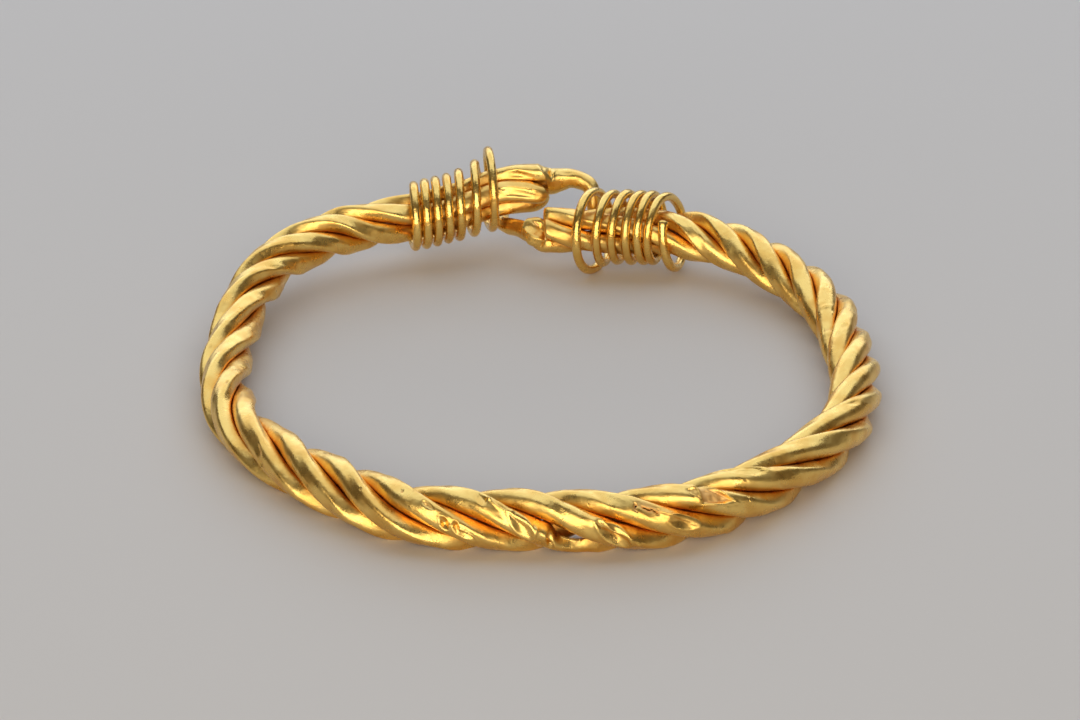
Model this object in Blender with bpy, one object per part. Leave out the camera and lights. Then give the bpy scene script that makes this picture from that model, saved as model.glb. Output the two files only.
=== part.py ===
"""Gold bracelet: four fat strands twisted into a hoop, hooked shut and bound with wire at both ends.

Lengths are in millimetres and become metres once, in make_object. +Z is up, +X runs to the right and +Y
runs from the front of the hoop to its clasp. The hoop lies on the plane z = 0, and the origin is on
that plane, in the middle of the object's outline.
"""

import math

import bmesh
import bpy
import numpy as np

MM = 0.001
UP = np.array((0.0, 0.0, 1.0))

# The hoop, followed counter-clockwise from its left end, round the front, to its right end.
# A bend: hoop angle in degrees (0 at +X, 90 at the clasp), reach from the middle, twist in degrees.
BENDS = (
    (88, 35.7, 318),
    (98, 35.4, 289),
    (106, 34.8, 283),
    (115, 34.9, 285),
    (124, 35.6, 238),
    (135, 36.9, 132),
    (146, 37.7, 38),
    (157, 37.0, -64),
    (172, 35.8, -165),
    (187, 35.9, -272),
    (202, 36.2, -382),
    (218, 35.8, -471),
    (235, 35.7, -596),
    (247, 36.5, -689),
    (260, 35.6, -788),
    (271, 35.2, -875),
    (283, 36.3, -962),
    (296, 36.9, -1060),
    (308, 36.7, -1150),
    (320, 36.4, -1223),
    (336, 36.6, -1313),
    (352, 36.1, -1432),
    (368, 35.6, -1564),
    (384, 36.1, -1681),
    (400, 35.4, -1822),
    (411, 34.9, -1916),
    (421, 33.6, -2013),
    (432, 31.2, -2072),
    (441, 29.9, -2104),
    (449, 29.6, -2149),
)
# Half the thickness of the band: fattest at the front, slimmer towards the clasp
GIRTHS = (
    (88, 3.05),
    (94, 3.0),
    (102, 2.8),
    (115, 2.75),
    (125, 2.85),
    (187, 2.9),
    (225, 3.15),
    (247, 3.3),
    (290, 3.3),
    (336, 2.95),
    (415, 2.85),
    (425, 2.75),
    (449, 2.75),
)
# Both ends spring up off the surface that the front and the sides lie on
LIFTS = (
    (88, 5.0),
    (98, 4.82),
    (106, 4.0),
    (115, 3.5),
    (124, 3.3),
    (135, 3.1),
    (146, 2.4),
    (157, 1.3),
    (172, 0.25),
    (187, 0.0),
    (202, 0.0),
    (352, 0.0),
    (368, 0.0),
    (384, 0.5),
    (400, 1.4),
    (411, 1.9),
    (421, 2.15),
    (432, 2.4),
    (449, 2.55),
)
# How deep the lowest crests are flattened where they rest
FLAT = 0.12

STRANDS = 4
# The first strand's crest, in degrees from outward to up, where the twist is nought
FIRST_CREST = 45
# Hoop angles between which the strands share their sections
BODY = (93.0, 446.0)
# Sections follow each other at most this far apart, in degrees of twist and in millimetres
TWIST_STEP = 31.0
LONGEST_STEP = 4.0
# One strand's section: angle from its crest in degrees, share of the band's half thickness
LOBE = (
    (-10, 0.99),
    (-27, 0.90),
    (-38.5, 0.70),
    (-36, 0.34),
    (0, 0.13),
    (36, 0.34),
    (38.5, 0.70),
    (27, 0.90),
    (10, 0.99),
)
LOBE_MIDDLE = 0.6

# Where a strand stops: hoop angle, size of its section there
HOOK_ROOTS = (91.0, 447.5)
LEFT_ENDS = {
    0: ((91.5, 1.0), (90.8, 0.75)),
    2: ((92.5, 1.0), (90.8, 0.85), (89.4, 0.5)),
    3: ((92.5, 1.0), (90.4, 0.8), (88.8, 0.45)),
}
RIGHT_ENDS = {
    0: ((447.8, 1.0), (448.4, 0.8)),
    1: ((448.4, 1.0), (448.9, 0.85)),
    3: ((444.5, 1.0), (445.2, 0.75)),
}

# A hook: the points its middle passes through, root first, with its width and its depth there
HOOKS = {
    "left": (
        (0.4, 36.1, 8.85, 2.8, 3.0),
        (1.2, 36.4, 8.4, 2.8, 3.1),
        (2.4, 36.6, 8.5, 2.5, 2.7),
        (3.7, 36.6, 8.7, 2.25, 2.25),
        (5.0, 36.4, 8.45, 2.1, 2.1),
        (5.9, 35.9, 8.15, 1.9, 1.9),
        (6.35, 35.3, 7.55, 1.7, 1.7),
        (6.5, 34.8, 6.7, 1.5, 1.5),
        (6.5, 34.4, 5.8, 1.4, 1.4),
        (6.5, 34.2, 5.1, 1.0, 1.0),
    ),
    "right": (
        (0.4, 29.35, 3.7, 2.2, 2.4),
        (0.0, 29.3, 4.6, 2.2, 3.3),
        (-0.7, 29.6, 4.95, 2.0, 3.4),
        (-1.5, 30.4, 4.6, 1.9, 2.4),
        (-2.6, 31.8, 4.3, 1.7, 2.0),
        (-3.8, 33.2, 3.9, 1.8, 2.0),
        (-4.5, 34.8, 3.5, 1.7, 1.8),
        (-4.6, 36.6, 3.4, 1.5, 1.5),
        (-4.5, 38.2, 4.1, 1.3, 1.3),
        (-4.3, 39.0, 5.1, 0.9, 0.9),
    ),
}

# Share of the way from square to the band to square to the hook that each section of a hook turns
HOOK_BEND = 0.35

WIRE = 1.1
WIRE_SIDES = 6
COIL_STEP = 24.0
# Where a whole turn of a coil starts, in degrees from under the band towards its inner side
COIL_START = 135
# Hoop angles between which a coil follows the band's middle line
LEFT_SPAN = (93, 130)
RIGHT_SPAN = (415, 449)
# A turn of a wire coil: turn number, place along X, radius, lift over the middle of the band
LEFT_COIL = (
    (0.45, -15.8, 3.65, 0.0),
    (1.0, -15.1, 3.65, 0.0),
    (2.0, -13.8, 3.7, 0.0),
    (3.0, -12.5, 3.7, 0.0),
    (4.0, -11.15, 3.7, 0.0),
    (5.0, -9.75, 3.8, 0.05),
    (6.0, -7.85, 3.95, 0.15),
    (7.0, -5.9, 4.6, 0.65),
    (7.45, -5.6, 4.7, 0.65),
)
LEFT_AXIS = (0.988, 0.132, 0.076)
RIGHT_COIL = (
    (0.61, 6.6, 4.75, 0.05),
    (0.75, 6.05, 4.75, 0.05),
    (1.0, 6.1, 4.74, 0.1),
    (1.55, 7.5, 4.2, 0.25),
    (2.0, 8.3, 4.05, 0.4),
    (3.0, 10.1, 4.05, 0.5),
    (4.0, 11.75, 4.0, 0.5),
    (5.0, 13.15, 4.0, 0.5),
    (6.0, 14.5, 4.0, 0.45),
    (6.4, 15.9, 4.1, 0.25),
    (6.65, 16.45, 4.25, 0.15),
    (7.0, 16.0, 4.1, 0.15),
)
RIGHT_AXIS = (0.934, -0.341, 0.105)

# Edges bent by more than this many degrees stay sharp in the shading
STRAND_CREASE = 40.0
WIRE_CREASE = 70.0
STRAND_TONE = (0.80, 0.51, 0.14)
WIRE_TONE = (0.83, 0.55, 0.16)
ROUGHNESS = 0.3


def spread(rows, column, at):
    """Values of one column at places of the first column, on a smooth curve through the rows."""
    x = np.array([row[0] for row in rows], float)
    y = np.array([row[column] for row in rows], float)
    slope = np.gradient(y, x)
    i = np.clip(np.searchsorted(x, at) - 1, 0, len(x) - 2)
    h = x[i + 1] - x[i]
    t = (np.asarray(at) - x[i]) / h
    start = y[i] * (1 + 2 * t) * (1 - t) ** 2 + slope[i] * h * t * (1 - t) ** 2
    end = y[i + 1] * t * t * (3 - 2 * t) + slope[i + 1] * h * t * t * (t - 1)
    return start + end


def unit(v):
    """A vector, or each vector of an array, at length one."""
    return v / np.linalg.norm(v, axis=-1, keepdims=True)


def middle(angles):
    """Points on the middle line of the band at hoop angles in degrees."""
    reach = spread(BENDS, 1, angles)
    turn = np.radians(angles)
    height = girth(angles) - FLAT + spread(LIFTS, 1, angles)
    return np.stack([reach * np.cos(turn), reach * np.sin(turn), height], axis=-1)


def girth(angles):
    """Half the thickness of the band at hoop angles in degrees."""
    return np.interp(angles, [row[0] for row in GIRTHS], [row[1] for row in GIRTHS])


def band(angles):
    """The band at hoop angles: its middle line, and its directions along, outward and upward."""
    angles = np.asarray(angles, float)
    low, high = BENDS[0][0], BENDS[-1][0]
    along = unit(middle(np.clip(angles + 0.5, low, high)) - middle(np.clip(angles - 0.5, low, high)))
    out = unit(np.cross(along, UP))
    return middle(angles), along, out, np.cross(out, along)


def lobe(strand, angle, size=1.0):
    """One section of a strand, as a ring of points, with its middle and the direction of its crest."""
    centre, along, out, up = band(angle)
    g = girth(angle)
    crest = math.radians(spread(BENDS, 2, angle) + FIRST_CREST + 360 / STRANDS * strand)
    aim = math.cos(crest) * out + math.sin(crest) * up
    hub = centre + LOBE_MIDDLE * g * aim
    ring = []
    for lean, share in LOBE:
        a = crest + math.radians(lean)
        point = centre + g * share * (math.cos(a) * out + math.sin(a) * up)
        ring.append(hub + size * (point - hub))
    return np.array(ring), hub, aim


def stations():
    """Hoop angles of the sections that all strands share, closer together where the twist is tight."""
    found = [BODY[0]]
    while found[-1] < BODY[1]:
        here = found[-1]
        rate = abs(spread(BENDS, 2, here + 2.0) - spread(BENDS, 2, here)) / 2.0
        longest = math.degrees(LONGEST_STEP / spread(BENDS, 1, here))
        step = min(TWIST_STEP / max(rate, 0.1), longest)
        found.append(min(here + step, BODY[1]))
    return found


def hook_rings(name, strand, angle):
    """Rings along a hook that carries on from a strand's section, which is the first of them."""
    root_ring, root_hub, aim = lobe(strand, angle)
    root_along = band(angle)[1]
    rows = np.array(HOOKS[name])
    path = rows[:, :3]
    outward = 1.0 if name == "right" else -1.0
    before = np.vstack([root_hub, path[:-1]])
    after = np.vstack([path[1:], 2 * path[-1] - path[-2]])
    count = len(root_ring)
    rings = [root_ring]
    bend = 0.0
    for point, a, b, (width, depth) in zip(path, before, after, rows[:, 3:] / 2):
        heading = unit((1 - bend) * outward * root_along + bend * unit(b - a))
        bend = min(bend + HOOK_BEND, 1.0)
        aim = unit(aim - heading * (aim @ heading))
        side = np.cross(aim, heading * outward)
        ring = []
        for i in range(count):
            t = math.radians(-180 / count - 360 / count * i)
            ring.append(point + depth * math.cos(t) * aim + width * math.sin(t) * side)
        rings.append(np.array(ring))
    return rings


def strand_rings(strand):
    """All rings of a strand, from its left end to its right end."""
    if strand == 1:
        left = hook_rings("left", strand, HOOK_ROOTS[0])
    else:
        left = [lobe(strand, a, size)[0] for a, size in LEFT_ENDS[strand]]
    if strand == 2:
        right = hook_rings("right", strand, HOOK_ROOTS[1])
        last = HOOK_ROOTS[1]
    else:
        right = [lobe(strand, a, size)[0] for a, size in RIGHT_ENDS[strand]]
        last = RIGHT_ENDS[strand][0][0]
    body = [lobe(strand, a)[0] for a in stations() if a < last - 1.0]
    rings = left[::-1] + body + right
    for ring in rings:
        ring[:, 2] = np.maximum(ring[:, 2], 0.0)
    return rings


def coil_path(rows, axis, ends):
    """The middle line of a wire wound round the band, up the front, over the top and down the back."""
    axis = unit(np.array(axis))
    rise = unit(UP - axis * (UP @ axis))
    front = np.cross(axis, rise)
    first, last = rows[0][0], rows[-1][0]
    turns = np.linspace(first, last, int((last - first) * 360 / COIL_STEP) + 1)
    at = np.linspace(*ends, 60)
    line = middle(at)
    if line[0, 0] > line[-1, 0]:
        line = line[::-1]
    x = spread(rows, 1, turns)
    radius = spread(rows, 2, turns)
    y = np.interp(x, line[:, 0], line[:, 1])
    z = np.interp(x, line[:, 0], line[:, 2]) + spread(rows, 3, turns)
    theta = 2 * math.pi * (turns - 1) + math.radians(COIL_START)
    spoke = -np.cos(theta)[:, None] * rise + np.sin(theta)[:, None] * front
    return np.stack([x, y, z], axis=-1) + radius[:, None] * spoke


def tube_rings(path):
    """Rings of a round wire along a path."""
    along = unit(np.gradient(path, axis=0))
    side = unit(np.cross(along[0], UP))
    rings = []
    for point, heading in zip(path, along):
        side = unit(side - heading * (side @ heading))
        other = np.cross(heading, side)
        ring = []
        for i in range(WIRE_SIDES):
            t = 2 * math.pi * i / WIRE_SIDES
            ring.append(point + WIRE / 2 * (math.cos(t) * side + math.sin(t) * other))
        rings.append(np.array(ring))
    return rings


def closed(rings):
    """Points and faces of a closed body drawn through rings, with a point in the middle of each end."""
    count = len(rings[0])
    points = [p for ring in rings for p in ring]
    faces = []
    for r in range(len(rings) - 1):
        for i in range(count):
            j = (i + 1) % count
            a, b = r * count, (r + 1) * count
            faces.append((a + i, a + j, b + j))
            faces.append((a + i, b + j, b + i))
    for ring, start in ((rings[0], 0), (rings[-1], (len(rings) - 1) * count)):
        points.append(ring.mean(axis=0))
        hub = len(points) - 1
        for i in range(count):
            faces.append((start + i, start + (i + 1) % count, hub))
    return np.array(points), faces


def gold(name, colour, roughness):
    """A plain gold material."""
    material = bpy.data.materials.new(name)
    material.use_nodes = True
    shader = material.node_tree.nodes["Principled BSDF"]
    shader.inputs["Base Color"].default_value = (*colour, 1.0)
    shader.inputs["Metallic"].default_value = 1.0
    shader.inputs["Roughness"].default_value = roughness
    material.diffuse_color = (*colour, 1.0)
    return material


def make_object(name, points, faces, material, crease):
    """One closed object from points in millimetres, its faces turned outward."""
    mesh = bpy.data.meshes.new(name)
    built = bmesh.new()
    verts = [built.verts.new(p * MM) for p in points]
    for face in faces:
        built.faces.new([verts[i] for i in face])
    bmesh.ops.recalc_face_normals(built, faces=built.faces)
    built.to_mesh(mesh)
    built.free()
    mesh.shade_smooth()
    mesh.set_sharp_from_angle(angle=math.radians(crease))
    mesh.materials.append(material)
    obj = bpy.data.objects.new(name, mesh)
    bpy.context.scene.collection.objects.link(obj)
    return obj


def main():
    for old in list(bpy.data.objects):
        bpy.data.objects.remove(old, do_unlink=True)
    names = ("strand_plain_1", "strand_left_hook", "strand_right_hook", "strand_plain_2")
    bodies = [(name, closed(strand_rings(k)), STRAND_CREASE) for k, name in enumerate(names)]
    left = coil_path(LEFT_COIL, LEFT_AXIS, LEFT_SPAN)
    right = coil_path(RIGHT_COIL, RIGHT_AXIS, RIGHT_SPAN)
    bodies.append(("coil_left", closed(tube_rings(left)), WIRE_CREASE))
    bodies.append(("coil_right", closed(tube_rings(right)), WIRE_CREASE))
    everything = np.vstack([points for _, (points, _), _ in bodies])
    shift = (everything.min(axis=0) + everything.max(axis=0)) / 2
    shift[2] = 0.0
    for name, (points, faces), crease in bodies:
        tone = WIRE_TONE if name.startswith("coil") else STRAND_TONE
        make_object(name, points - shift, faces, gold(name + "_gold", tone, ROUGHNESS), crease)


main()
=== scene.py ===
"""The looks of the gold bracelet: dented strands, hooks and wire over its solids, with floor and light.

Lengths are in millimetres until a mesh is made. The hoop is followed by its angle in degrees, 0 at +X and
90 at the clasp, from its left end at 88, round the front at 270, to its right end at 449.
"""

import math

import bpy
import numpy as np
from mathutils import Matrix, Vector


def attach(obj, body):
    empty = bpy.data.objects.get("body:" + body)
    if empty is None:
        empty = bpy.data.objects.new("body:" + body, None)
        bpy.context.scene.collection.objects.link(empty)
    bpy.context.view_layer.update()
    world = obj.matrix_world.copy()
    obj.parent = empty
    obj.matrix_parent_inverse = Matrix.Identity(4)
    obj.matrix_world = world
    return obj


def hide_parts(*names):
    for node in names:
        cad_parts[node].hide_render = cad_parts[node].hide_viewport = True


MM = 0.001
UP = np.array((0.0, 0.0, 1.0))
# From the middle of the hoop to the origin of the solids
SHIFT = np.array((0.057, 0.666, 0.0))

# The strands in their order round the band, and which of them carries on as each hook
STRANDS = ("strand_plain_1", "strand_left_hook", "strand_right_hook", "strand_plain_2")
HOOKED = {"left": 1, "right": 2}

# The hoop, as the solids follow it: hoop angle, reach from the middle, twist in degrees
BENDS = (
    (88, 35.7, 318),
    (98, 35.4, 289),
    (106, 34.8, 283),
    (115, 34.9, 285),
    (124, 35.6, 238),
    (135, 36.9, 132),
    (146, 37.7, 38),
    (157, 37.0, -64),
    (172, 35.8, -165),
    (187, 35.9, -272),
    (202, 36.2, -382),
    (218, 35.8, -471),
    (235, 35.7, -596),
    (247, 36.5, -689),
    (260, 35.6, -788),
    (271, 35.2, -875),
    (283, 36.3, -962),
    (296, 36.9, -1060),
    (308, 36.7, -1150),
    (320, 36.4, -1223),
    (336, 36.6, -1313),
    (352, 36.1, -1432),
    (368, 35.6, -1564),
    (384, 36.1, -1681),
    (400, 35.4, -1822),
    (411, 34.9, -1916),
    (421, 33.6, -2013),
    (432, 31.2, -2072),
    (441, 29.9, -2104),
    (449, 29.6, -2149),
)
# Half the band's thickness: hoop angle, half thickness
GIRTHS = (
    (88, 3.05),
    (94, 3.0),
    (102, 2.8),
    (115, 2.75),
    (125, 2.85),
    (187, 2.9),
    (225, 3.15),
    (247, 3.3),
    (290, 3.3),
    (336, 2.95),
    (415, 2.85),
    (425, 2.75),
    (449, 2.75),
)
# How far the band is raised off the floor: hoop angle, height
LIFTS = (
    (88, 5.0),
    (98, 4.82),
    (106, 4.0),
    (115, 3.5),
    (124, 3.3),
    (135, 3.1),
    (146, 2.4),
    (157, 1.3),
    (172, 0.25),
    (187, 0.0),
    (202, 0.0),
    (352, 0.0),
    (368, 0.0),
    (384, 0.5),
    (400, 1.4),
    (411, 1.9),
    (421, 2.15),
    (432, 2.4),
    (449, 2.55),
)
# What the floor takes off the band's lowest crests
FLAT = 0.12
# Hoop angles past which the band runs straight on
FIRST, LAST = 88.5, 448.5

# A strand's section, in shares of the band's half thickness: its middle, outer depth, inner depth, half width
HUB = 0.58
OUTER = 0.42
INNER = 0.46
HALF_WIDTH = 0.43
# How far the section leans to one side
LEAN = 0.11
# How square the section is: 2 is an ellipse, and one flank is squarer than the other
SQUARE = 2.9
SQUARER_FLANK = 0.35
# How far the section changes along a strand, and over how many degrees of the hoop
DEPTH_CHANGE = 0.035
WIDTH_CHANGE = 0.05
SQUARE_CHANGE = 0.25
TURN_CHANGE = 0.16
LEAN_CHANGE = 0.06
CHANGE_OVER = 11.0
# Unevenness of a strand's surface: height and length of its longer and of its shorter waves
LONG_WAVE = (0.05, 2.6)
SHORT_WAVE = (0.022, 1.4)
# Hoop angles between which the strands are rounder, with even slopes at both ends, and by how much
ROUNDER = (318, 345, 385, 405)
ROUNDER_BY = 0.5
# Half the gap between neighbouring strands, the least half width that it leaves, how softly flanks meet it
CLEARANCE = 0.02
LEAST_ROOM = 0.02
SOFT_FLANK = 0.05
# Points round a strand, and how much closer they are on its outer side
AROUND = 72
CLOSER_OUTSIDE = 0.35
# Degrees between a strand's rings at the front, where it is busiest, and elsewhere, and the front's ends
FINE_STEP, COARSE_STEP = 0.2, 0.45
BUSY_FROM, BUSY_TO = 238, 312
# Share of a full section that is left in the last ring of a cut end
POINT = 0.02

# Cut ends by strand: hoop angle, length of the rounding, how blunt it is, rise of the tip
LEFT_STOPS = {
    0: (91.0, 1.4, 0.6, 0.0),
    2: (92.6, 2.6, 0.8, 0.0),
    3: (92.5, 2.6, 0.8, 0.5),
}
RIGHT_STOPS = {
    0: (447.9, 0.8, 0.3, 0.0),
    1: (448.3, 0.5, 0.25, 0.0),
    3: (445.0, 1.2, 0.6, 0.0),
}
END_RINGS = 21
# Reach of the hoop, to turn a length at an end into degrees
END_REACH = 35.0

# Hoop angles where the hooks set out, and their path: X, Y, Z, width, depth
HOOK_ROOTS = (91.0, 447.5)
HOOKS = {
    "left": (
        (0.4, 36.1, 8.85, 2.8, 3.0),
        (1.2, 36.4, 8.4, 2.8, 3.1),
        (2.4, 36.6, 8.5, 2.5, 2.7),
        (3.7, 36.6, 8.7, 2.25, 2.25),
        (5.0, 36.4, 8.45, 2.1, 2.1),
        (5.9, 35.9, 8.15, 1.9, 1.9),
        (6.35, 35.3, 7.55, 1.7, 1.7),
        (6.5, 34.8, 6.7, 1.5, 1.5),
        (6.5, 34.4, 5.8, 1.4, 1.4),
        (6.5, 34.2, 5.1, 1.0, 1.0),
    ),
    "right": (
        (0.4, 29.35, 3.7, 2.2, 2.4),
        (0.0, 29.3, 4.6, 2.2, 3.3),
        (-0.7, 29.6, 4.95, 2.0, 3.4),
        (-1.5, 30.4, 4.6, 1.9, 2.4),
        (-2.6, 31.8, 4.3, 1.7, 2.0),
        (-3.8, 33.2, 3.9, 1.8, 2.0),
        (-4.5, 34.8, 3.5, 1.7, 1.8),
        (-4.6, 36.6, 3.4, 1.5, 1.5),
        (-4.5, 38.2, 4.1, 1.3, 1.3),
        (-4.3, 39.0, 5.1, 0.9, 0.9),
    ),
}

HOOK_SQUARE = 2.5
# Length of the first, closer rings of a hook, the number of these, and the number of the others
ROOT_LENGTH = 4.0
ROOT_RINGS = 60
ARM_RINGS = 80
# Length over which a hook's tip rounds off
HOOK_TIP = 0.55
# The end of a strand's own section, which stands over its hook like a sheath: middle distance from the root,
# swing to and fro round the section, where the swing is farthest in degrees from the crest, half length of
# the step, and what the step gains at the crest
SHEATHS = {"left": (1.25, 0.7, 163.0, 0.25), "right": (0.9, 0.2, 0.0, 0.5)}
CREST_STEP = 0.2
# Marks on the hooks: hook, kind, distance from its root, place round it in degrees from the crest, then as
# in MARKS
HOOK_MARKS = (
    ("left", "hollow", 2.15, 22, 0.80, 1.40, 0, 0.34, 0.0),
    ("left", "ridge", 3.1, 25, 0.85, 0.30, 45, 0.12, 0.0),
    ("left", "hollow", 4.6, 33, 1.10, 0.50, 0, 0.10, 0.0),
    ("right", "bowl", 2.4, -112, 0.95, 1.45, 0, 0.90, -1.0),
    ("right", "bowl", 2.85, -124, 0.28, 0.26, 0, 0.16, 1.0),
    ("right", "ridge", 3.45, -104, 1.30, 0.28, 80, 0.22, 0.0),
)

# The wire: thickness, unevenness and the length of its waves, points round it, rings for each turn of a coil,
# length of its rounded ends
WIRE = 1.1
WIRE_CHANGE = 0.05
WIRE_WAVE = 2.3
WIRE_SIDES = 20
TURN_RINGS = 110
WIRE_TIP = 0.3
# Distances from its last end between which a flared wire widens
FLARE_FROM, FLARE_TO = 1.7, 0.3
# Where the count of a coil's turns stands at one, in degrees from its lowest point up its front
COIL_START = 135
# The path of each coil: turn, X, radius, how far its middle is raised
LEFT_COIL = (
    (0.45, -15.8, 3.65, 0.0),
    (1.0, -15.1, 3.65, 0.0),
    (2.0, -13.8, 3.7, 0.0),
    (3.0, -12.5, 3.7, 0.0),
    (4.0, -11.15, 3.7, 0.0),
    (5.0, -9.75, 3.8, 0.05),
    (6.0, -7.85, 3.95, 0.15),
    (7.0, -5.9, 4.6, 0.65),
    (7.45, -5.6, 4.7, 0.65),
)
RIGHT_COIL = (
    (0.61, 6.6, 4.75, 0.05),
    (0.75, 6.05, 4.75, 0.05),
    (1.0, 6.1, 4.74, 0.1),
    (1.55, 7.5, 4.2, 0.25),
    (2.0, 8.3, 4.05, 0.4),
    (3.0, 10.1, 4.05, 0.5),
    (4.0, 11.75, 4.0, 0.5),
    (5.0, 13.15, 4.0, 0.5),
    (6.0, 14.5, 4.0, 0.45),
    (6.4, 15.9, 4.1, 0.25),
    (6.65, 16.45, 4.25, 0.15),
    (7.0, 16.0, 4.1, 0.15),
)
# The coils: node, path, axis, hoop angles of the stretch that it is wound round, flare of its last end, seed
COILS = (
    ("coil_left", LEFT_COIL, (0.988, 0.132, 0.076), (93, 130), 0.0, 71),
    ("coil_right", RIGHT_COIL, (0.934, -0.341, 0.105), (415, 449), 0.24, 72),
)

# Marks of wear: strand, kind, hoop angle, place round the band in degrees from outward to up, half length,
# half width, turn of the long side from the strand's own direction, depth, how worn its floor is (less than
# 0: how much painted shade darkens it; past 1.05: painted black shade as in a crack)
MARKS = (
    (1, "hollow", 94.2, 118, 2.40, 0.70, -8, 0.26, -0.2),
    (2, "ridge", 94.6, 150, 2.80, 0.24, 3, 0.12, 0.0),
    (2, "hollow", 94.6, 165, 2.80, 0.45, 2, 0.14, -0.2),
    (0, "hollow", 249.2, 74, 2.20, 0.80, 0, 0.10, 0.0),
    (0, "bowl", 246.9, 73, 0.26, 0.22, 0, 0.20, 1.0),
    (0, "bowl", 248.7, 80, 0.20, 0.17, 0, 0.16, 0.9),
    (0, "flat", 251.5, 51, 0.80, 0.38, 12, 0.13, 0.5),
    (0, "bowl", 251.4, 51, 0.22, 0.18, 0, 0.15, 0.9),
    (0, "bowl", 254.3, 21, 0.58, 0.60, 0, 0.48, -0.5),
    (0, "bowl", 256.1, 15, 0.50, 0.62, 0, 0.42, -0.5),
    (0, "bowl", 257.7, -1, 1.10, 0.42, 14, 0.42, -0.5),
    (1, "hollow", 260.1, 74, 0.95, 0.90, 40, 0.40, 0.2),
    (1, "bowl", 262.9, 62, 0.95, 0.45, 0, 0.22, 0.1),
    (1, "bump", 261.4, 70, 0.24, 0.24, 0, 0.28, 0.0),
    (1, "ridge", 261.0, 64, 0.75, 0.30, 70, 0.10, 0.0),
    (1, "hollow", 264.2, 38, 2.60, 1.15, 0, 0.22, 0.0),
    (1, "bowl", 266.8, 22, 1.60, 1.10, -12, 0.46, -0.4),
    (1, "ridge", 269.2, 4, 1.20, 0.36, 70, 0.16, 0.0),
    (1, "hollow", 272.0, -16, 0.60, 1.20, 0, 0.85, -1.0),
    (1, "bump", 270.0, -44, 0.60, 0.60, 0, 0.40, 0.0),
    (2, "hollow", 276.4, 50, 3.40, 1.10, 0, 0.14, 0.0),
    (2, "ridge", 280.9, 24, 1.90, 0.34, -8, 0.16, 0.0),
    (2, "bowl", 281.9, 3, 1.95, 1.20, -8, 0.80, -0.9),
    (2, "bump", 285.8, -24, 0.45, 0.40, 0, 0.14, 0.0),
    (3, "hollow", 281.4, 76, 2.60, 0.90, 0, 0.16, 0.0),
    (3, "hollow", 287.2, 52, 2.10, 1.00, 0, 0.20, 0.9),
    (3, "crack", 287.6, 47, 0.95, 0.15, 4, 0.45, 2.2),
    (3, "crack", 285.4, 55, 0.50, 0.15, 80, 0.40, 2.2),
    (3, "crack", 288.9, 42, 0.28, 0.13, 60, 0.35, 2.2),
    (3, "ridge", 289.6, 38, 2.40, 0.32, 10, 0.14, 0.0),
    (3, "bowl", 292.6, 14, 2.05, 0.72, 20, 0.46, -0.5),
    (0, "wedge", 298.7, 50, 2.00, 1.75, -2, 0.34, 1.0),
    (0, "wedge", 295.1, 72, 0.70, 0.80, 180, 0.22, 0.4),
    (0, "bump", 297.6, 56, 0.40, 0.35, 0, 0.12, 0.3),
    (0, "ridge", 304.1, 22, 0.40, 0.16, 90, 0.16, 0.0),
    (1, "flat", 306.0, 86, 2.40, 0.75, 0, 0.14, 0.0),
    (1, "bowl", 218.2, 11, 0.55, 0.50, 0, 0.26, 0.2),
    (1, "bowl", 217.0, 34, 0.90, 0.60, 0, 0.14, 0.0),
    (3, "bowl", 240.4, 50, 0.36, 0.14, 70, 0.14, 0.9),
    (1, "hollow", 151.6, 131, 1.00, 0.70, 0, 0.14, 0.1),
    (3, "ridge", 177.5, 140, 0.55, 0.15, 84, 0.09, 0.0),
    (3, "ridge", 178.9, 133, 0.45, 0.15, 88, 0.08, 0.0),
    (2, "bump", 178.3, 44, 0.26, 0.24, 0, 0.18, 0.0),
    (0, "ridge", 185.4, 146, 0.50, 0.15, 86, 0.09, 0.0),
    (0, "ridge", 186.5, 140, 0.65, 0.16, 90, 0.11, 0.0),
    (0, "ridge", 187.7, 134, 0.50, 0.15, 94, 0.09, 0.0),
    (0, "bowl", 195.5, 87, 0.32, 0.20, 20, 0.20, 1.2),
    (1, "crack", 202.0, 134, 0.80, 0.10, 12, 0.06, 0.2),
    (2, "bowl", 229.4, 19, 0.40, 0.30, 0, 0.18, 0.3),
    (1, "hollow", 311.1, 62, 1.40, 0.60, 0, 0.12, 0.2),
    (3, "hollow", 337.9, 74, 1.10, 0.50, 0, 0.12, 0.3),
    (2, "hollow", 366.5, 99, 0.80, 0.50, 10, 0.12, 0.3),
    (2, "bowl", 365.4, 104, 0.30, 0.20, 0, 0.10, 0.4),
    (3, "ridge", 369.3, 144, 0.80, 0.20, 86, 0.10, 0.0),
    (3, "crack", 370.2, 142, 0.80, 0.16, 86, 0.14, 0.9),
    (3, "crack", 375.0, 119, 1.00, 0.18, 84, 0.10, 0.3),
    (3, "ridge", 375.8, 116, 1.15, 0.24, 84, 0.15, 0.0),
    (3, "bowl", 381.2, 84, 0.18, 0.14, 0, 0.11, 0.6),
    (3, "bowl", 382.0, 90, 0.28, 0.17, 0, 0.13, 0.6),
)
# Where a strand has lost its inner half and thins on one side, which leaves a gap to see through: strand,
# hoop angle, half length in degrees, side, share of the half width taken away
THINNER = ((1, 275.6, 4.6, 1, 0.6),)
# Chance marks on each strand, how far they keep from its ends, and how far across it they reach
SMALL_MARKS = 46
SMALL_MARGIN = 6
SMALL_ACROSS = 1.4
# A mark near a strand's crest ends this far across it; one on its flank ends at the second distance
CREST_LIMIT, FLANK_LIMIT = 2.4, 5.0
# How far a mark with its rim reaches, for each unit of its larger size
MARK_REACH = 1.6
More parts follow.
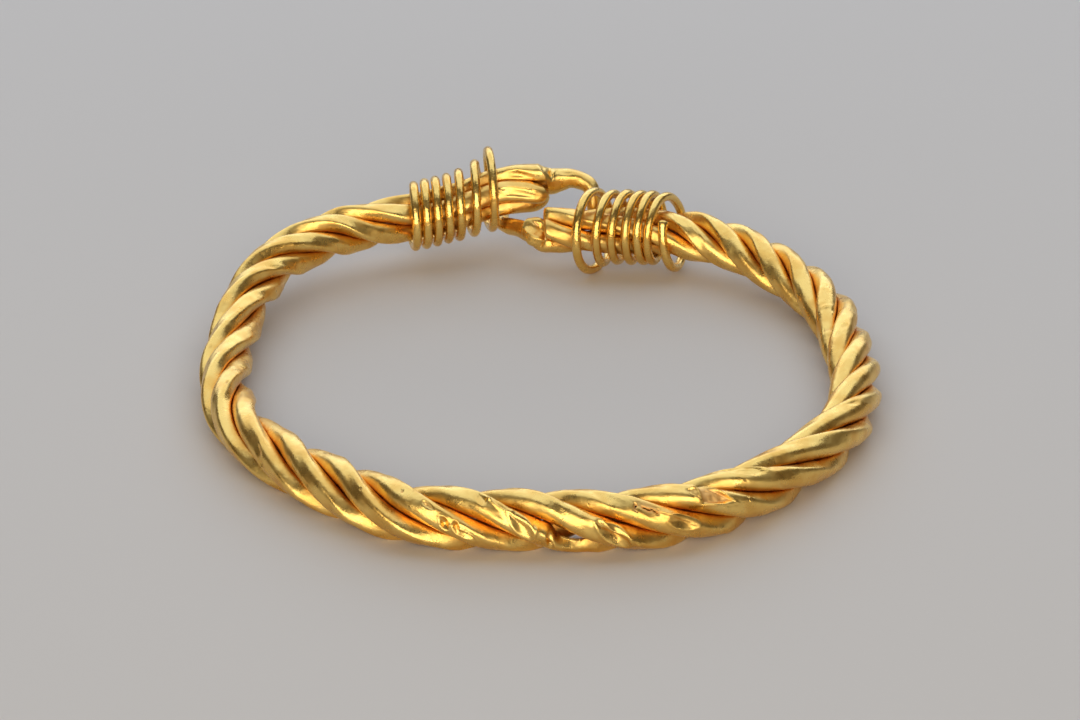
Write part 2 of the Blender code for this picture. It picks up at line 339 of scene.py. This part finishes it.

# Colours of the gold: two shades each for strands and wire, painted shade in hollows, torn metal, painted
# crack shade
STRAND_PALE, STRAND_DEEP, STRAND_ROUGH = (0.93, 0.62, 0.175), (0.82, 0.48, 0.11), 0.30
WIRE_PALE, WIRE_DEEP, WIRE_ROUGH = (0.93, 0.62, 0.175), (0.84, 0.50, 0.115), 0.23
# Painted shade: orange-brown colour for the shade deep in the grooves between strands and in dark dent floors
GROOVE_SHADE = (0.76, 0.34, 0.05)
TORN = (0.88, 0.52, 0.17)
# Painted shade: near-black colour for the shade inside open cracks
CRACK_SHADE = (0.02, 0.012, 0.006)
# Depths in the band, in shares of its half thickness, between which the painted shade in the grooves fades
# out
SHADE_FADE_FROM, SHADE_FADE_TO = 0.42, 0.72

# The stage, in metres: floor, surrounding light, and each lamp's name, place, size, power and colour
FLOOR_HALF = 3.0
FLOOR_COLOUR = (0.595, 0.545, 0.48)
FLOOR_ROUGH = 0.8
AIR_COLOUR = (0.95, 0.84, 0.70)
AIR_STRENGTH = 0.13
COOL = (0.69, 0.80, 1.0)
LAMPS = (
    ("top_softbox", (0.0, 0.26, 0.60), (1.3, 0.80), 4.1, COOL),
    ("back_softbox", (0.0, 0.70, 0.30), (1.2, 0.36), 2.6, COOL),
    ("front_softbox", (-0.05, -0.62, 0.36), (1.0, 0.30), 2.8, (1.0, 0.95, 0.86)),
    ("low_strip", (0.0, -0.80, 0.11), (1.4, 0.06), 2.4, (1.0, 0.94, 0.84)),
)
# The camera: height above the floor's plane in degrees, distance, the height that it looks at, its lens
ELEVATION = 28.5
DISTANCE = 0.45
AIM_HEIGHT = 3.4
SENSOR = 36.0
LENS = 131.4
NEAREST = 0.01


def spread(rows, column, at):
    """Values of one column at places of the first column, on a smooth curve through the rows."""
    x = np.array([row[0] for row in rows], float)
    y = np.array([row[column] for row in rows], float)
    at = np.clip(np.asarray(at, float), x[0], x[-1])
    slope = np.gradient(y, x)
    i = np.clip(np.searchsorted(x, at) - 1, 0, len(x) - 2)
    h = x[i + 1] - x[i]
    t = (at - x[i]) / h
    start = y[i] * (1 + 2 * t) * (1 - t) ** 2 + slope[i] * h * t * (1 - t) ** 2
    end = y[i + 1] * t * t * (3 - 2 * t) + slope[i + 1] * h * t * t * (t - 1)
    return start + end


def unit(v):
    """A vector, or each vector of an array, at length one."""
    return v / np.linalg.norm(v, axis=-1, keepdims=True)


def smooth(low, high, x):
    """0 below low, 1 above high, and an even slope between."""
    t = np.clip((x - low) / (high - low), 0.0, 1.0)
    return t * t * (3 - 2 * t)


def girth(angles):
    """Half the band's thickness at hoop angles."""
    return np.interp(angles, [row[0] for row in GIRTHS], [row[1] for row in GIRTHS])


def middle(angles):
    """The band's middle line at hoop angles."""
    reach = spread(BENDS, 1, angles)
    turn = np.radians(angles)
    height = girth(angles) - FLAT + spread(LIFTS, 1, angles)
    return np.stack([reach * np.cos(turn), reach * np.sin(turn), height], axis=-1)


def band(angles):
    """The band's middle line and its directions along, outward and upward, straight on past its ends."""
    angles = np.asarray(angles, float)
    held = np.clip(angles, FIRST, LAST)
    along = unit(middle(held + 0.5) - middle(held - 0.5))
    beyond = np.radians(angles - held) * spread(BENDS, 1, held)
    centre = middle(held) + along * beyond[..., None]
    out = unit(np.cross(along, UP))
    return centre, along, out, np.cross(out, along)


def lattice(i, j, seed):
    """A fixed pseudo-random value from -1 to 1 for each whole-numbered point of a grid."""
    n = (i * 374761393 + j * 668265263 + seed * 974634777) & 0xFFFFFFFF
    n = ((n ^ (n >> 13)) * 1274126177) & 0xFFFFFFFF
    n = n ^ (n >> 16)
    return (n & 0xFFFF) / 32767.5 - 1.0


def noise(u, v, seed):
    """Smooth noise from -1 to 1 with features one unit across."""
    i = np.floor(u).astype(np.int64)
    j = np.floor(v).astype(np.int64)
    s = u - i
    t = v - j
    s = s * s * s * (s * (s * 6 - 15) + 10)
    t = t * t * t * (t * (t * 6 - 15) + 10)
    low = lattice(i, j, seed) * (1 - s) + lattice(i + 1, j, seed) * s
    high = lattice(i, j + 1, seed) * (1 - s) + lattice(i + 1, j + 1, seed) * s
    return low * (1 - t) + high * t


def normals(grid):
    """Outward normals of a tube given as a grid of rings."""
    along = np.gradient(grid, axis=0)
    around = (np.roll(grid, -1, axis=1) - np.roll(grid, 1, axis=1)) / 2
    n = unit(np.cross(along, around) + 1e-12)
    hub = grid.mean(axis=1, keepdims=True)
    return n * np.sign(np.sum(n * (grid - hub)))


def softmin(a, b, width):
    """The smaller of two values, with a rounded change from one to the other."""
    h = np.clip(0.5 + 0.5 * (b - a) / width, 0.0, 1.0)
    return b * (1 - h) + a * h - width * h * (1 - h)


def section(turns, outer, inner, half, aside, square, tilt):
    """A strand's section: depth from the band's middle and place across, in shares of its half thickness."""
    c, s = np.cos(turns), np.sin(turns)
    power = 2.0 / (square + SQUARER_FLANK * s)
    c = np.sign(c) * np.abs(c) ** power
    s = np.sign(s) * np.abs(s) ** power
    p = HUB + np.where(c > 0, outer * (1 + tilt * s), inner) * c
    q = aside + half * s
    room = np.maximum(p - CLEARANCE, LEAST_ROOM)
    return p, np.sign(q) * np.maximum(softmin(np.abs(q), room, SOFT_FLANK), 0.0)


def ring_turns():
    """Places round a strand's section, closer together on its outer side."""
    even = np.linspace(0, 2 * math.pi, AROUND, endpoint=False)
    return even - CLOSER_OUTSIDE * np.sin(even)


def strand_body(k, angles):
    """The plain part of a strand as rings, depths of its points, its directions to the crest and along."""
    centre, along, out, up = band(angles)
    g = girth(angles)[:, None]
    crest = np.radians(spread(BENDS, 2, angles) + 45 + 90 * k)
    aim = np.cos(crest)[:, None] * out + np.sin(crest)[:, None] * up
    side = -np.sin(crest)[:, None] * out + np.cos(crest)[:, None] * up
    turns = ring_turns()[None, :]
    slow = angles[:, None] / CHANGE_OVER
    outer = OUTER * (1 + DEPTH_CHANGE * noise(slow, slow * 0 + 3, 10 + k))
    half = HALF_WIDTH * (1 + WIDTH_CHANGE * noise(slow * 1.3, slow * 0 + 7, 20 + k))
    round_here = smooth(*ROUNDER[:2], angles) * (1 - smooth(*ROUNDER[2:], angles))
    square = SQUARE - ROUNDER_BY * round_here[:, None]
    square = square + SQUARE_CHANGE * noise(slow * 0.9, slow * 0 + 11, 30 + k)
    turns = turns + TURN_CHANGE * noise(slow * 0.8, slow * 0 + 17, 40 + k) * np.sin(2 * turns)
    inner = INNER + 0 * slow
    aside = 0 * slow
    for strand, at, reach, hand, share in THINNER:
        if strand == k:
            near = 1 - smooth(0.35, 1.0, np.abs(angles[:, None] - at) / reach)
            aside = aside - hand * half * share * near / 2
            half = half * (1 - share * near / 2)
            inner = inner * (1 - near)
    tilt = LEAN + LEAN_CHANGE * noise(slow * 1.1, slow * 0 + 23, 80 + k)
    p, q = section(turns, outer, inner, half, aside, square, tilt)
    points = centre[:, None] + g[..., None] * (p[..., None] * aim[:, None] + q[..., None] * side[:, None])
    return points, p, aim, along


def rounding(left, tip):
    """Share of a full section where a round end of length tip is still left away."""
    return math.sqrt(max(1 - (1 - min(left / tip, 1.0)) ** 2, 0.004))


def hook_body(name, k, root):
    """A hook as rings that carry on from its strand's section, whose end stands over it like a sheath."""
    angles = np.array([root])
    ring, _, aim, along = (found[0] for found in strand_body(k, angles))
    hub = band(angles)[0][0] + HUB * girth(root) * aim
    outward = 1.0 if name == "right" else -1.0
    rows = np.array(HOOKS[name])
    path = np.vstack([hub, rows[:, :3]])
    length = lengths(path)
    near = np.linspace(0, ROOT_LENGTH, ROOT_RINGS)[:-1]
    steps = np.concatenate([near, np.linspace(ROOT_LENGTH, length[-1], ARM_RINGS)])
    table = np.column_stack([length, path])
    curve = np.stack([spread(table, column, steps) for column in (1, 2, 3)], axis=-1)
    size = np.column_stack([length, np.vstack([rows[:1, 3:], rows[:, 3:]])])
    width = spread(size, 1, steps) / 2
    depth = spread(size, 2, steps) / 2
    heading = unit(np.gradient(curve, steps, axis=0))
    bend = smooth(0.0, length[3], steps)[:, None]
    heading = unit((1 - bend) * outward * along + bend * heading)
    turns = ring_turns()
    c, d = np.cos(turns), np.sin(turns)
    power = 2.0 / HOOK_SQUARE
    c, d = np.sign(c) * np.abs(c) ** power, np.sign(d) * np.abs(d) ** power
    own = ring - hub
    away, swing, farthest, step = SHEATHS[name]
    lip = away + swing * np.cos(turns - math.radians(farthest))
    step = step + CREST_STEP * np.clip(np.cos(turns), 0, 1)
    straight = hub + outward * steps[:, None] * along
    rings = []
    for i in range(1, len(steps)):
        aim = unit(aim - heading[i] * (aim @ heading[i]))
        side = np.cross(aim, heading[i] * outward)
        blunt = rounding(max(length[-1] - steps[i], 0.0), HOOK_TIP)
        oval = curve[i] + blunt * (depth[i] * c[:, None] * aim + width[i] * d[:, None] * side)
        old = 1 - smooth(lip - step, lip + step, steps[i])[:, None]
        rings.append(old * (straight[i] + own) + (1 - old) * oval)
    return np.array(rings)


def end_rings(k, at, step, reach, blunt, rise):
    """Rings that round off a strand's end, from a hoop angle on, in the direction of step (1 or -1)."""
    turns = np.linspace(0, math.pi / 2, END_RINGS + 1)[1:]
    forward = np.degrees(reach / END_REACH) * np.sin(turns) * step
    points = strand_body(k, at + forward)[0]
    size = np.maximum(np.cos(turns) ** blunt, POINT)[:, None, None]
    hub = points.mean(axis=1, keepdims=True)
    return hub + size * (points - hub) + UP * rise * (np.sin(turns) ** 3)[:, None, None]


def stations(first, last):
    """Hoop angles of a strand's sections, closest at the front, where the surface is busiest."""
    found = [first]
    while found[-1] < last:
        at = found[-1]
        found.append(at + (FINE_STEP if BUSY_FROM < at < BUSY_TO else COARSE_STEP))
    found[-1] = last
    return np.array(found)


def lengths(line):
    """Distances along a line of points from its first one."""
    return np.concatenate([[0], np.cumsum(np.linalg.norm(np.diff(line, axis=0), axis=1))])


def strand_grid(k):
    """A whole strand as rings, hoop angles of its plain part, number of rings before it, depths of points."""
    if k == HOOKED["left"]:
        first = HOOK_ROOTS[0]
        start = hook_body("left", k, first)[::-1]
    else:
        first = LEFT_STOPS[k][0]
        start = end_rings(k, first, -1, *LEFT_STOPS[k][1:])[::-1]
    if k == HOOKED["right"]:
        last = HOOK_ROOTS[1]
        end = hook_body("right", k, last)
    else:
        last = RIGHT_STOPS[k][0]
        end = end_rings(k, last, 1, *RIGHT_STOPS[k][1:])
    angles = stations(first, last)
    points, p = strand_body(k, angles)[:2]
    grid = np.concatenate([start, points, end])
    # Cut ends lie past the fade, so they get no painted groove shade
    unshaded = [np.full((len(rings), AROUND), SHADE_FADE_TO) for rings in (start, end)]
    depth = np.vstack([unshaded[0], p, unshaded[1]])
    return grid, angles, len(start), depth


def coil_path(rows, axis, stretch):
    """The middle line of a wire wound round the band, up the front, over the top and down the back."""
    axis = unit(np.array(axis))
    rise = unit(UP - axis * (UP @ axis))
    front = np.cross(axis, rise)
    first, last = rows[0][0], rows[-1][0]
    turns = np.linspace(first, last, int((last - first) * TURN_RINGS) + 1)
    line = middle(np.linspace(*stretch, 60))
    if line[0, 0] > line[-1, 0]:
        line = line[::-1]
    x = spread(rows, 1, turns)
    radius = spread(rows, 2, turns)
    y = np.interp(x, line[:, 0], line[:, 1])
    z = np.interp(x, line[:, 0], line[:, 2]) + spread(rows, 3, turns)
    theta = 2 * math.pi * (turns - 1) + math.radians(COIL_START)
    spoke = -np.cos(theta)[:, None] * rise + np.sin(theta)[:, None] * front
    return np.stack([x, y, z], axis=-1) + radius[:, None] * spoke


def wire_grid(path, flare, seed):
    """A drawn wire along a path, a little uneven, with blunt rounded ends, the last one flared by a share."""
    along = unit(np.gradient(path, axis=0))
    reach = lengths(path)
    side = unit(np.cross(along[0], UP))
    turns = np.linspace(0, 2 * math.pi, WIRE_SIDES, endpoint=False)
    rings = []
    for point, heading, at in zip(path, along, reach):
        side = unit(side - heading * (side @ heading))
        other = np.cross(heading, side)
        blunt = rounding(min(at, reach[-1] - at), WIRE_TIP)
        splay = 1 + flare * (1 - smooth(FLARE_TO, FLARE_FROM, reach[-1] - at))
        uneven = 1 + WIRE_CHANGE * noise(at / WIRE_WAVE + turns * 0, np.cos(turns) + 5, seed)
        r = WIRE / 2 * blunt * splay * uneven
        rings.append(point + (r * np.cos(turns))[:, None] * side + (r * np.sin(turns))[:, None] * other)
    return np.array(rings)


def add_object(name, data):
    """A new object in the scene."""
    obj = bpy.data.objects.new(name, data)
    bpy.context.scene.collection.objects.link(obj)
    return obj


def volume(mesh):
    """Signed volume, negative when the faces look inward."""
    mesh.calc_loop_triangles()
    co = np.zeros(len(mesh.vertices) * 3)
    mesh.vertices.foreach_get("co", co)
    co = co.reshape(-1, 3)
    tris = np.zeros(len(mesh.loop_triangles) * 3, int)
    mesh.loop_triangles.foreach_get("vertices", tris)
    a, b, c = (co[tris[n::3]] for n in range(3))
    return float(np.sum(np.einsum("ij,ij->i", a, np.cross(b, c))) / 6)


def make_mesh(name, grid, hollow, worn_and_crack_shade):
    """A closed object from rings of points in millimetres, with two values a point for its looks."""
    rings, count = grid.shape[:2]
    points = (grid.reshape(-1, 3) - SHIFT) * MM
    tips = (np.array([grid[0].mean(axis=0), grid[-1].mean(axis=0)]) - SHIFT) * MM
    points = np.vstack([points, tips])
    i = np.arange(count)
    j = (i + 1) % count
    base = (np.arange(rings - 1) * count)[:, None]
    quads = np.stack([base + i, base + count + i, base + count + j, base + j], axis=-1).reshape(-1, 4)
    last = (rings - 1) * count
    caps = [np.stack([j, i, np.full(count, rings * count)], axis=-1)[:, ::-1]]
    caps.append(np.stack([last + i, last + j, np.full(count, rings * count + 1)], axis=-1)[:, ::-1])
    faces = quads.tolist() + [f for cap in caps for f in cap.tolist()]
    mesh = bpy.data.meshes.new(name)
    mesh.from_pydata(points.tolist(), [], faces)
    mesh.validate()
    for label, values in (("hollow", hollow), ("worn_and_crack_shade", worn_and_crack_shade)):
        attribute = mesh.attributes.new(label, "FLOAT", "POINT")
        held = np.concatenate([values.reshape(-1), [values[0].mean(), values[-1].mean()]])
        attribute.data.foreach_set("value", held.astype(np.float32))
    mesh.update()
    obj = add_object(name, mesh)
    if volume(mesh) < 0:
        mesh.flip_normals()
    mesh.shade_smooth()
    return obj


def gold(name, pale, deep, rough):
    """Old high-carat gold: uneven in colour, satin, with fine grain, small pits and painted shade in hollows
    and cracks.

    Scales of its noise are in features a metre, and distances of its bumps are in metres.
    """
    material = bpy.data.materials.new(name)
    material.use_nodes = True
    tree = material.node_tree
    nodes, links = tree.nodes, tree.links
    shader = nodes["Principled BSDF"]
    shader.inputs["Metallic"].default_value = 1.0
    where = nodes.new("ShaderNodeTexCoord").outputs["Object"]

    def cloud(scale, detail=3.0, roughness=0.55):
        node = nodes.new("ShaderNodeTexNoise")
        node.inputs["Scale"].default_value = scale
        node.inputs["Detail"].default_value = detail
        node.inputs["Roughness"].default_value = roughness
        links.new(where, node.inputs["Vector"])
        return node.outputs["Fac"]

    def span(value, low, high, to_low, to_high):
        node = nodes.new("ShaderNodeMapRange")
        node.interpolation_type = "SMOOTHSTEP"
        for socket, number in zip(("From Min", "From Max", "To Min", "To Max"), (low, high, to_low, to_high)):
            node.inputs[socket].default_value = number
        links.new(value, node.inputs["Value"])
        return node.outputs["Result"]

    def mix(factor, a, b):
        node = nodes.new("ShaderNodeMix")
        node.data_type = "RGBA"
        links.new(factor, node.inputs["Factor"])
        for socket, value in ((node.inputs[6], a), (node.inputs[7], b)):
            if isinstance(value, tuple):
                socket.default_value = (*value, 1.0)
            else:
                links.new(value, socket)
        return node.outputs[2]

    def bump(height, distance, under=None):
        node = nodes.new("ShaderNodeBump")
        node.inputs["Strength"].default_value = 1.0
        node.inputs["Distance"].default_value = distance
        links.new(height, node.inputs["Height"])
        if under is not None:
            links.new(under, node.inputs["Normal"])
        return node.outputs["Normal"]

    def held(label):
        node = nodes.new("ShaderNodeAttribute")
        node.attribute_name = label
        return node.outputs["Fac"]

    def maths(operation, a, b):
        node = nodes.new("ShaderNodeMath")
        node.operation = operation
        links.new(a, node.inputs[0])
        links.new(b, node.inputs[1])
        return node.outputs[0]

    colour = mix(span(cloud(330.0), 0.38, 0.66, 0.0, 1.0), pale, deep)
    patches = span(cloud(900.0), 0.3, 0.7, 0.55, 1.0)
    # Painted shade: the hollow value darkens the grooves between strands and the dark dent floors, in patches
    colour = mix(maths("MULTIPLY", held("hollow"), patches), colour, GROOVE_SHADE)
    colour = mix(span(held("worn_and_crack_shade"), 0.0, 1.0, 0.0, 1.0), colour, TORN)
    # Painted shade: past 1.05 the value turns crack floors near-black
    colour = mix(span(held("worn_and_crack_shade"), 1.05, 1.5, 0.0, 1.0), colour, CRACK_SHADE)
    links.new(colour, shader.inputs["Base Color"])
    satin = span(cloud(700.0, 4.0, 0.6), 0.3, 0.72, rough - 0.06, rough + 0.1)
    dull = span(held("worn_and_crack_shade"), 0.0, 1.0, 0.0, 0.2)
    links.new(maths("ADD", satin, dull), shader.inputs["Roughness"])
    skin = bump(cloud(1300.0, 4.0, 0.6), 0.00005)
    skin = bump(cloud(4200.0, 2.0, 0.6), 0.000014, skin)
    pits = nodes.new("ShaderNodeTexVoronoi")
    pits.inputs["Scale"].default_value = 420.0
    links.new(where, pits.inputs["Vector"])
    pits = span(pits.outputs["Distance"], 0.0, 0.13, 0.0, 1.0)
    links.new(bump(pits, 0.00002, skin), shader.inputs["Normal"])
    return material


def stage():
    """A plain pale floor, soft light from behind, above and in front, and the camera."""
    floor_mesh = bpy.data.meshes.new("floor")
    far = FLOOR_HALF
    corners = [(-far, -far, 0), (far, -far, 0), (far, far, 0), (-far, far, 0)]
    floor_mesh.from_pydata(corners, [], [(0, 1, 2, 3)])
    floor = add_object("floor", floor_mesh)
    paint = bpy.data.materials.new("floor_paint")
    paint.use_nodes = True
    shader = paint.node_tree.nodes["Principled BSDF"]
    shader.inputs["Base Color"].default_value = (*FLOOR_COLOUR, 1.0)
    shader.inputs["Roughness"].default_value = FLOOR_ROUGH
    floor_mesh.materials.append(paint)

    world = bpy.data.worlds.new("studio")
    world.use_nodes = True
    air = world.node_tree.nodes["Background"]
    air.inputs["Color"].default_value = (*AIR_COLOUR, 1.0)
    air.inputs["Strength"].default_value = AIR_STRENGTH
    bpy.context.scene.world = world
    for name, place, size, power, colour in LAMPS:
        light = bpy.data.lights.new(name, "AREA")
        light.shape = "RECTANGLE"
        light.size, light.size_y = size
        light.energy = power
        light.color = colour
        lamp = add_object(name, light)
        lamp.location = place
        lamp.rotation_euler = Vector(place).to_track_quat("Z", "Y").to_euler()
        lamp.visible_camera = False

    elevation = math.radians(ELEVATION)
    back = Vector((0.0, -math.cos(elevation), math.sin(elevation)))
    lens = bpy.data.cameras.new("camera")
    camera = add_object("camera", lens)
    aim = (Vector((0.0, 0.0, AIM_HEIGHT)) - Vector(SHIFT.tolist())) * MM
    camera.location = aim + DISTANCE * back
    camera.rotation_euler = back.to_track_quat("Z", "Y").to_euler()
    lens.sensor_width = SENSOR
    lens.lens = LENS
    lens.clip_start = NEAREST
    bpy.context.scene.camera = camera
    bpy.context.scene.view_settings.view_transform = "Standard"


def mark_height(kind, u, v, seed):
    """Relief of a mark: -1 in its floor, a little over 0 on its rim; u and v are 1 at its ends and sides."""
    if kind == "crack":
        jag = 1.1 * noise(u * 3.7, u * 0 + 2, seed)
        return -np.exp(-(((v - jag) / 0.6) ** 2)) * (1 - smooth(0.85, 1.0, np.abs(u)))
    if kind == "ridge":
        return np.exp(-((v / 0.5) ** 2)) * (1 - smooth(0.4, 1.0, np.abs(u)))
    if kind == "bump":
        return np.exp(-2.2 * (u * u + v * v))
    if kind == "wedge":
        far = np.maximum(np.maximum(-u, u + 2 * np.abs(v)), 0.0)
        floor = 1 - smooth(0.7, 1.0, far)
        return -floor * (1 + 0.3 * noise(u * 4, v * 3, seed)) + 0.3 * np.exp(-(((far - 1.12) / 0.12) ** 2))
    far = np.hypot(u, v) * (1 + 0.14 * noise(np.arctan2(v, u) * 1.4, u * 0 + 6, seed))
    if kind == "hollow":
        return -np.clip(1 - far * far, 0, 1) ** 2 * (1 + 0.2 * noise(u * 2.2, v * 1.6, seed))
    rim = 0.16 * np.exp(-(((far - 1.08) / 0.16) ** 2))
    if kind == "flat":
        return -(1 - smooth(0.7, 1.0, far)) * (1 + 0.25 * noise(u * 2.6, v * 2.2, seed)) + rim
    return -np.clip(1 - far * far, 0, 1) ** 1.5 + rim


def small_marks(k, length):
    """Chance marks for one strand: kind, places along and across it, then the sizes as in MARKS."""
    chance = np.random.default_rng(400 + k)
    for _ in range(SMALL_MARKS):
        at = chance.uniform(SMALL_MARGIN, length - SMALL_MARGIN)
        across = chance.uniform(-SMALL_ACROSS, SMALL_ACROSS)
        long = chance.uniform(0.15, 0.9)
        wide = long * chance.uniform(0.2, 0.7)
        kind = ("bowl", "bowl", "ridge", "flat")[chance.integers(4)]
        yield kind, at, across, long, wide, chance.uniform(-60, 60), chance.uniform(0.02, 0.06), 0.2


def place_marks(k, grid, angles, lead, reach):
    """Each point's place across a strand, and the strand's marks as in small_marks."""
    hop = np.linalg.norm(grid - np.roll(grid, 1, axis=1), axis=2)
    half = AROUND // 2
    one_side = np.cumsum(hop[:, 1:half], axis=1)
    other_side = np.cumsum(hop[:, ::-1][:, :half], axis=1)[:, ::-1]
    across = np.concatenate([np.zeros((len(grid), 1)), one_side, -other_side], axis=1)
    centre, _, out, up = band(angles)
    arm = grid[lead : lead + len(angles)] - centre[:, None]
    around = np.arctan2(np.sum(arm * up[:, None], axis=2), np.sum(arm * out[:, None], axis=2))
    marks = []
    for strand, kind, at, place, *sizes in MARKS:
        if strand == k:
            i = int(np.argmin(np.abs(angles - at)))
            off = np.abs((np.degrees(around[i]) - place + 180) % 360 - 180)
            j = int(np.argmin(np.where(np.cos(ring_turns()) > 0, off, 360)))
            marks.append((kind, reach[i + lead], across[i + lead, j], *sizes))
    for hook, kind, away, place, *sizes in HOOK_MARKS:
        if k == HOOKED[hook]:
            at = reach[lead] - away if hook == "left" else reach[lead + len(angles) - 1] + away
            i = int(np.searchsorted(reach, at))
            j = int(np.argmin(np.abs((np.degrees(ring_turns()) - place + 180) % 360 - 180)))
            marks.append((kind, at, across[i, j], *sizes))
    marks.extend(small_marks(k, reach[-1]))
    return across, marks


def add_marks(k, grid, angles, lead, reach):
    """Presses a strand's marks into it; returns its rings, wear with painted crack shade, and painted shade.
    """
    n = normals(grid)
    across, marks = place_marks(k, grid, angles, lead, reach)
    wear_and_crack_shade = np.zeros(grid.shape[:2])
    shade = np.zeros(grid.shape[:2])
    moved = np.zeros(grid.shape[:2])
    for seed, (kind, at, place, long, wide, turn, depth, floor_wear_and_shade) in enumerate(marks):
        extent = MARK_REACH * max(long, wide)
        low, high = np.searchsorted(reach, (at - extent, at + extent))
        du = (reach[low:high] - at)[:, None]
        dv = across[low:high] - place
        a = math.radians(turn)
        u = (math.cos(a) * du + math.sin(a) * dv) / long
        v = (math.cos(a) * dv - math.sin(a) * du) / wide
        limit = CREST_LIMIT if abs(place) < CREST_LIMIT else FLANK_LIMIT
        near = (np.abs(across[low:high]) < limit) & (np.abs(dv) < CREST_LIMIT)
        height = np.where(near, mark_height(kind, u, v, 200 + seed), 0.0)
        moved[low:high] += depth * height
        # Worn, tan floors; past 1.05 this also paints black shade into cracks
        wear_and_crack_shade[low:high] = np.maximum(wear_and_crack_shade[low:high], floor_wear_and_shade * np.clip(-height, 0, 1))
        # Painted shade in the dent floors whose last value is below 0
        shade[low:high] = np.maximum(shade[low:high], -floor_wear_and_shade * np.clip(-height, 0, 1))
    return grid + n * moved[..., None], wear_and_crack_shade, shade


def dress_strand(k, name, material):
    """One strand with its relief, in place of its solid."""
    grid, angles, lead, depth = strand_grid(k)
    reach = lengths(grid.mean(axis=1))
    turns = ring_turns()[None, :]
    s = reach[:, None] + 0 * turns
    rough = LONG_WAVE[0] * noise(s / LONG_WAVE[1], np.cos(turns) * 1.2 + 9, 50 + k)
    rough = rough + SHORT_WAVE[0] * noise(s / SHORT_WAVE[1], np.sin(turns) * 1.4 + 4, 60 + k)
    grid = grid + normals(grid) * rough[..., None]
    grid, wear_and_crack_shade, shade = add_marks(k, grid, angles, lead, reach)
    grid[:, :, 2] = np.maximum(grid[:, :, 2], 0.0)
    # Painted shade deep in the grooves between strands, and in the dent floors that are marked for it
    hollow = np.maximum(1 - smooth(SHADE_FADE_FROM, SHADE_FADE_TO, depth), shade)
    piece = make_mesh(name + "_gold", grid, hollow, wear_and_crack_shade)
    piece.data.materials.append(material)
    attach(piece, "root")
    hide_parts(name)


def dress_coil(name, grid, material):
    """One coil of wire from its rings, in place of its solid."""
    grid[:, :, 2] = np.maximum(grid[:, :, 2], 0.0)
    plain = np.zeros(grid.shape[:2])
    piece = make_mesh(name + "_gold", grid, plain, plain)
    piece.data.materials.append(material)
    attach(piece, "root")
    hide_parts(name)


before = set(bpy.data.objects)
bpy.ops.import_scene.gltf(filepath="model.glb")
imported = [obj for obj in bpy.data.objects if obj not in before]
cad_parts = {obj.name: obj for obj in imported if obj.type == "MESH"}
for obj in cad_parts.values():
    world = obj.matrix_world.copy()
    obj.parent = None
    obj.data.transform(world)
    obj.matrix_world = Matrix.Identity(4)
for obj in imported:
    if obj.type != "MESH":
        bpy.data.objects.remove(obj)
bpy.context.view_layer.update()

strand_gold = gold("strand_gold", STRAND_PALE, STRAND_DEEP, STRAND_ROUGH)
wire_gold = gold("wire_gold", WIRE_PALE, WIRE_DEEP, WIRE_ROUGH)
for number, node in enumerate(STRANDS):
    dress_strand(number, node, strand_gold)
for node, rows, axis, stretch, flare, seed in COILS:
    dress_coil(node, wire_grid(coil_path(rows, axis, stretch), flare, seed), wire_gold)
stage()
